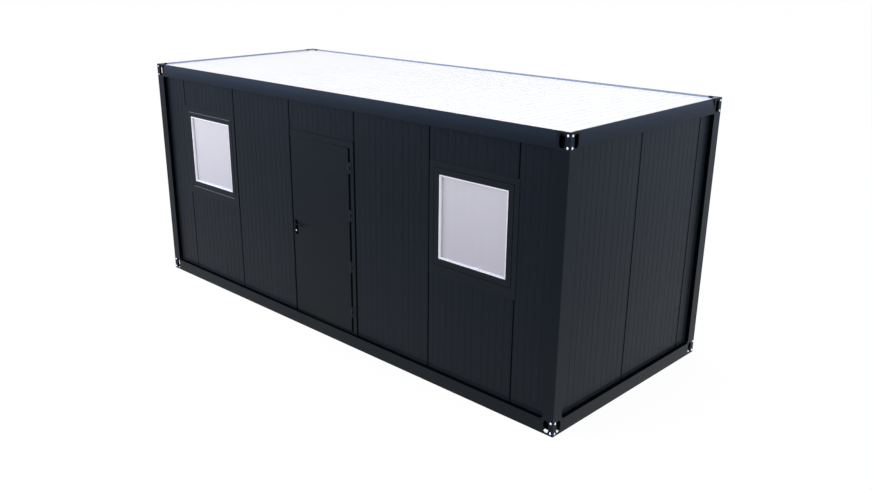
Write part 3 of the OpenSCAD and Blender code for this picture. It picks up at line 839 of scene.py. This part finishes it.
def seam_places(wall_x, wall_y):
    """Foot, direction across and direction inwards of each panel seam on walls at these distances."""
    places = [((x, sy * wall_y), (1, 0, 0), (0, -sy, 0)) for x in LONG_SEAMS for sy in (-1, 1)]
    places += [((sx * wall_x, y), (0, 1, 0), (-sx, 0, 0)) for y in END_SEAMS for sx in (-1, 1)]
    return places


def room_trim():
    """Skirting, coves, corner strips and strips over the panel joints."""
    up = (0, 0, 1)
    skirting, strips = bmesh.new(), bmesh.new()
    walls = (
        ((-ROOM_X, ROOM_Y), (ROOM_X, ROOM_Y), (0, -1, 0)),
        ((-ROOM_X, -ROOM_Y), (ROOM_X, -ROOM_Y), (0, 1, 0)),
        ((-ROOM_X, -ROOM_Y), (-ROOM_X, ROOM_Y), (1, 0, 0)),
        ((ROOM_X, -ROOM_Y), (ROOM_X, ROOM_Y), (-1, 0, 0)),
    )
    for start, end, inward in walls:
        add_strip(strips, COVE, (*start, CEILING_Z), (*end, CEILING_Z), inward, up)
        at_front = inward == (0, 1, 0)
        runs = [(start, end)]
        if at_front:
            runs = [(start, (FRAME_LOW.x, -ROOM_Y)), ((FRAME_HIGH.x, -ROOM_Y), end)]
        for run_start, run_end in runs:
            add_strip(skirting, SKIRTING, (*run_start, FLOOR_Z), (*run_end, FLOOR_Z), inward, up)
    for sx, sy in CORNERS:
        foot = (sx * ROOM_X, sy * ROOM_Y, FLOOR_Z)
        add_strip(strips, CORNER_TRIM, foot, (*foot[:2], CEILING_Z), (-sx, 0, 0), (0, -sy, 0))
    for (x, y), across, inward in seam_places(ROOM_X, ROOM_Y):
        add_strip(strips, JOINT_COVER, (x, y, FLOOR_Z), (x, y, CEILING_Z), across, inward)
    finish_piece(skirting, "room_skirting", SASH_WHITE)
    finish_piece(strips, "lining_strips", SASH_WHITE)


# Seals of the walls and the door, and painted shade at the foot of the walls

LIP_W, LIP_T = 2.0, 0.6


def seam_runs(x, y, low_z, high_z):
    """The stretches of a seam that no window plate covers."""
    for hand in (-1, 1):
        low, high = half_box("window_plates", hand)
        if y < 0 and low.x < x < high.x:
            return [(low_z, low.z), (high.z, high_z)]
    return [(low_z, high_z)]


def seam_fillers():
    """Black filler that closes the panel seams, with a thin lip on the panel at both sides."""
    seal_low, seal_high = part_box("joint_seals")
    half = JOINT_W / MM / 2
    depth = (seal_low.y - PANEL_Y) / MM
    lip = half + LIP_W
    section = [(-half, depth), (half, depth), (half, 0), (lip, 0)]
    section += [(half, -LIP_T), (-half, -LIP_T), (-lip, 0), (-half, 0)]
    mesh = bmesh.new()
    for (x, y), across, inward in seam_places(PANEL_X, -PANEL_Y):
        for low_z, high_z in seam_runs(x, y, seal_low.z, seal_high.z):
            add_strip(mesh, section, (x, y, low_z), (x, y, high_z), across, inward)
    finish_piece(mesh, "seam_fillers", RUBBER)


LOCK_SEAL_LAP, LOCK_SEAL_T = 6 * MM, 0.6 * MM
HEAD_GAP, HEAD_STRIP_DEEP = 2.5 * MM, 20 * MM


def door_edge_seals():
    """A black seal over the seam beside the lock jamb, and a strip in the gap over the leaf."""
    lock_seal, head_strip = bmesh.new(), bmesh.new()
    low = (FRAME_LOW.x - JOINT_W / 2, FRAME_LOW.y - LOCK_SEAL_T, FRAME_LOW.z)
    high = (FRAME_LOW.x + LOCK_SEAL_LAP, PANEL_Y, FRAME_HIGH.z)
    bevelled_box(lock_seal, low, high, LOCK_SEAL_T / 2)
    stop_low, stop_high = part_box("door_seal")
    low = (stop_low.x, FRAME_LOW.y, LEAF_HIGH.z + HEAD_GAP)
    high = (stop_high.x, FRAME_LOW.y + HEAD_STRIP_DEEP, stop_high.z)
    bevelled_box(head_strip, low, high, 0.5 * MM)
    finish_piece(lock_seal, "lock_side_seal", RUBBER)
    finish_piece(head_strip, "door_head_strip", DOOR_COAT)


FOOT_BAND_H, FOOT_BAND_T = 19.0, 0.4
LINE_H, LINE_T = 4.0, 0.3
LINE_TOP = FOOT_BAND_H + LINE_H
FOOT_BAND = [(0, 0), (0, FOOT_BAND_H), (-FOOT_BAND_T, FOOT_BAND_H - FOOT_BAND_T / 2), (-FOOT_BAND_T, 0)]
FOOT_SHADOW_LINE = [(0, FOOT_BAND_H), (0, LINE_TOP), (-LINE_T, LINE_TOP), (-LINE_T, FOOT_BAND_H)]


def wall_foot_shade_bands():
    """A thin strip along the foot of each wall, over the ledge's seal, in a bluer coat that is painted shade for
    the darker band there, with a black line on top that is a painted shadow line.
    """
    seal_points = [vertex.co for vertex in frame["nodes"]["frame_seals"].data.vertices]
    foot_z = max(point.z for point in seal_points if point.z < CABIN_H / 2)
    up = (0, 0, 1)
    runs = [((sx * PANEL_X, -ROOM_Y), (sx * PANEL_X, ROOM_Y), (-sx, 0, 0)) for sx in (-1, 1)]
    runs.append(((-ROOM_X, -PANEL_Y), (ROOM_X, -PANEL_Y), (0, -1, 0)))
    runs.append(((-ROOM_X, PANEL_Y), (FRAME_LOW.x, PANEL_Y), (0, 1, 0)))
    runs.append(((FRAME_HIGH.x, PANEL_Y), (ROOM_X, PANEL_Y), (0, 1, 0)))
    strips, lines = bmesh.new(), bmesh.new()
    for start, end, inward in runs:
        add_strip(strips, FOOT_BAND, (*start, foot_z), (*end, foot_z), inward, up)
        add_strip(lines, FOOT_SHADOW_LINE, (*start, foot_z), (*end, foot_z), inward, up)
    finish_piece(strips, "wall_foot_shade_bands", FOOT_SHADE_COAT)
    # Painted shadow: a black line along the top of the strip.
    finish_piece(lines, "foot_shadow_lines", RUBBER)


TREAD_T = 2 * MM
TREAD_DOWN = 7 * MM
TREAD_IN_LEFT, TREAD_IN_RIGHT, TREAD_IN_FRONT = 18 * MM, 34 * MM, 2 * MM
TREAD_RIBS = 3
TREAD_RIB = ((0.1, 0.5), (0.3, 1.0), (0.7, 1.0), (0.9, 0.5))


def tread_plate():
    """A ribbed plate on the threshold."""
    low_x, high_x = LEAF_LOW.x + TREAD_IN_LEFT, LEAF_HIGH.x - TREAD_IN_RIGHT
    low_y, high_y = LEAF_HIGH.y + TREAD_IN_FRONT, -ROOM_Y
    top = LEAF_LOW.z - TREAD_DOWN
    width = high_y - low_y
    section = [(0.0, 0.0)]
    for rib in range(TREAD_RIBS):
        for share, height in TREAD_RIB:
            section.append(((rib + share) / TREAD_RIBS * width / MM, height * TREAD_T / MM))
    section.append((width / MM, 0.0))
    mesh = bmesh.new()
    add_strip(mesh, section, (low_x, low_y, top), (high_x, low_y, top), (0, 1, 0), (0, 0, 1))
    finish_piece(mesh, "tread_plate", ZINC)


room_trim()
seam_fillers()
door_edge_seals()
wall_foot_shade_bands()
tread_plate()


# Camera

CAMERA_AT = Vector((6.7555, -6.6666, 3.8915))
CAMERA_AZIMUTH = math.radians(45.025)
CAMERA_ELEVATION = math.radians(19.44)
FOCAL_PX = 880.41
CENTRE_PX = (408.93, 260.38)
SENSOR = 36.0

camera_data = bpy.data.cameras.new("camera")
camera_data.sensor_width = SENSOR
camera_data.lens = FOCAL_PX * SENSOR / IMAGE_W
camera_data.shift_x = (IMAGE_W / 2 - CENTRE_PX[0]) / IMAGE_W
camera_data.shift_y = (CENTRE_PX[1] - IMAGE_H / 2) / IMAGE_W
camera = bpy.data.objects.new("camera", camera_data)
bpy.context.scene.collection.objects.link(camera)
back = Vector((
    math.sin(CAMERA_AZIMUTH) * math.cos(CAMERA_ELEVATION),
    -math.cos(CAMERA_AZIMUTH) * math.cos(CAMERA_ELEVATION),
    math.sin(CAMERA_ELEVATION),
))
camera.matrix_world = Matrix.Translation(CAMERA_AT) @ back.to_track_quat("Z", "Y").to_matrix().to_4x4()
bpy.context.scene.camera = camera


# Floor, sky and lamps

FLOOR_SIZE = 300.0
FLOOR_DROP = 0.5 * MM
FLOOR_MATT = (0.6, 0.6, 0.6, 1.0)
FLOOR_WHITE_SHARE, FLOOR_WHITE_LEVEL = 0.85, 1.09
GLOSS_FLOOR_NEAR, GLOSS_FLOOR_FAR = (0.95, 0.96, 0.98, 1.0), (0.84, 0.91, 1.0, 1.0)
GLOSS_TINT_REACH = (3.0, 12.0)
GLOSS_ALONG, GLOSS_ALONG_LEVELS = (-9.0, 6.0), (0.96, 1.27)
GLOSS_BEHIND, GLOSS_BEHIND_LEVELS = (1.5, 6.0), (1.0, 1.09)
GLOSS_SKY = (0.88, 0.94, 1.0, 1.0)
SKY_LOW = 0.3
WHITE = (1.0, 1.0, 1.0, 1.0)


def seen_background(w):
    """Two masks: what the camera sees straight or through glass, and what gloss shows."""
    path = w.node("ShaderNodeLightPath").outputs
    straight = w.math("MAXIMUM", path["Is Camera Ray"], path["Is Transmission Ray"])
    return straight, path["Is Glossy Ray"]


def studio_floor():
    """A pale floor that keeps the shadow; for the camera it is mostly plain white."""
    mesh = bmesh.new()
    bmesh.ops.create_grid(mesh, x_segments=1, y_segments=1, size=FLOOR_SIZE / 2)
    data = bpy.data.meshes.new("studio_floor")
    mesh.to_mesh(data)
    mesh.free()
    floor = bpy.data.objects.new("studio_floor", data)
    floor.location.z = cad_low.z - FLOOR_DROP
    bpy.context.scene.collection.objects.link(floor)
    material = bpy.data.materials.new("studio_floor")
    material.use_nodes = True
    material.node_tree.nodes.clear()
    w = Wiring(material.node_tree)
    straight, gloss = seen_background(w)
    place = w.place()
    x, y, _ = w.axes(place)
    along = w.ramp(x, *GLOSS_ALONG, *GLOSS_ALONG_LEVELS)
    behind = w.ramp(y, *GLOSS_BEHIND, *GLOSS_BEHIND_LEVELS)
    in_gloss = w.math("MULTIPLY", gloss, w.math("MULTIPLY", along, behind))
    glow = w.math("MAXIMUM", w.math("MULTIPLY", straight, FLOOR_WHITE_SHARE), gloss)
    level = w.math("MAXIMUM", w.math("MULTIPLY", straight, FLOOR_WHITE_LEVEL), in_gloss)
    matt = w.node("ShaderNodeBsdfDiffuse", {"Color": FLOOR_MATT})
    away = w.node("ShaderNodeVectorMath", {0: place}, operation="LENGTH").outputs["Value"]
    tint = w.mix(w.ramp(away, *GLOSS_TINT_REACH), GLOSS_FLOOR_NEAR, GLOSS_FLOOR_FAR)
    color = w.mix(gloss, WHITE, tint)
    white = w.node("ShaderNodeEmission", {"Color": color, "Strength": level})
    both = w.node("ShaderNodeMixShader", {0: glow, 1: matt.outputs[0], 2: white.outputs[0]})
    leave = w.node("ShaderNodeOutputMaterial")
    w.feed(leave.inputs["Surface"], both.outputs[0])
    data.materials.append(material)


def studio_sky():
    """White for the camera and for gloss; for the soft light, brighter overhead than at the horizon."""
    world = bpy.data.worlds.new("studio_sky")
    world.use_nodes = True
    world.node_tree.nodes.clear()
    w = Wiring(world.node_tree)
    straight, gloss = seen_background(w)
    height = w.axes(w.node("ShaderNodeTexCoord").outputs["Generated"])[2]
    soft = w.ramp(height, 0.0, 1.0, SKY_LOW, 1.0)
    shown = w.math("MAXIMUM", straight, gloss)
    strength = w.math("ADD", shown, w.math("MULTIPLY", w.math("SUBTRACT", 1.0, shown), soft))
    color = w.mix(gloss, WHITE, GLOSS_SKY)
    sky = w.node("ShaderNodeBackground", {"Color": color, "Strength": strength})
    leave = w.node("ShaderNodeOutputWorld")
    w.feed(leave.inputs["Surface"], sky.outputs[0])
    bpy.context.scene.world = world


def area_lamp(name, at, aim, size, color, power):
    data = bpy.data.lights.new(name, "AREA")
    data.shape = "RECTANGLE"
    data.size, data.size_y = size
    data.color = color
    data.energy = power
    lamp = bpy.data.objects.new(name, data)
    lamp.matrix_world = facing(at, Vector(at) - Vector(aim))
    lamp.visible_camera = False
    bpy.context.scene.collection.objects.link(lamp)
    return lamp


def soft_lamp(name, at, aim, size, color, level):
    """Lights without showing in gloss; level is the share of full white on a facing surface at the aim."""
    reach = Vector(at) - Vector(aim)
    lamp = area_lamp(name, at, aim, size, color, level * math.pi * math.pi * reach.length_squared)
    lamp.visible_glossy = False


def sky_strip(name, at, aim, size, color, glow):
    """A strip of pale sky that only gloss shows; glow 1 is as bright as white."""
    lamp = area_lamp(name, at, aim, size, color, glow * math.pi * size[0] * size[1])
    lamp.visible_diffuse = False


NEUTRAL = (1.0, 1.0, 1.0)
COOL = (0.88, 0.97, 1.0)
SKY_BLUE = (0.45, 0.60, 1.0)

studio_floor()
studio_sky()
soft_lamp("end_side_lamp", (17.0, -3.0, 8.5), (0.0, -0.6, 1.2), (8.0, 6.0), COOL, 0.30)
soft_lamp("front_left_lamp", (-10.0, -11.0, 5.5), (-1.0, -1.2, 1.3), (14.0, 5.0), NEUTRAL, 0.60)
soft_lamp("left_window_lamp", (-5.2, -4.6, 0.7), (-2.0, -1.2, 1.6), (2.4, 1.2), NEUTRAL, 0.27)
soft_lamp("roof_lamp", (-3.0, 0.0, 14.0), (-3.0, 0.0, 2.6), (12.0, 8.0), NEUTRAL, 0.17)
sky_strip("front_sky_strip", (-9.7, -11.2, 6.3), (0.0, -1.2, 2.5), (17.0, 4.4), SKY_BLUE, 19.0)
sky_strip("end_sky_strip", (9.8, 12.0, 5.8), (3.0, 0.0, 2.5), (11.0, 4.4), SKY_BLUE, 12.0)
bpy.context.scene.view_settings.view_transform = "Standard"
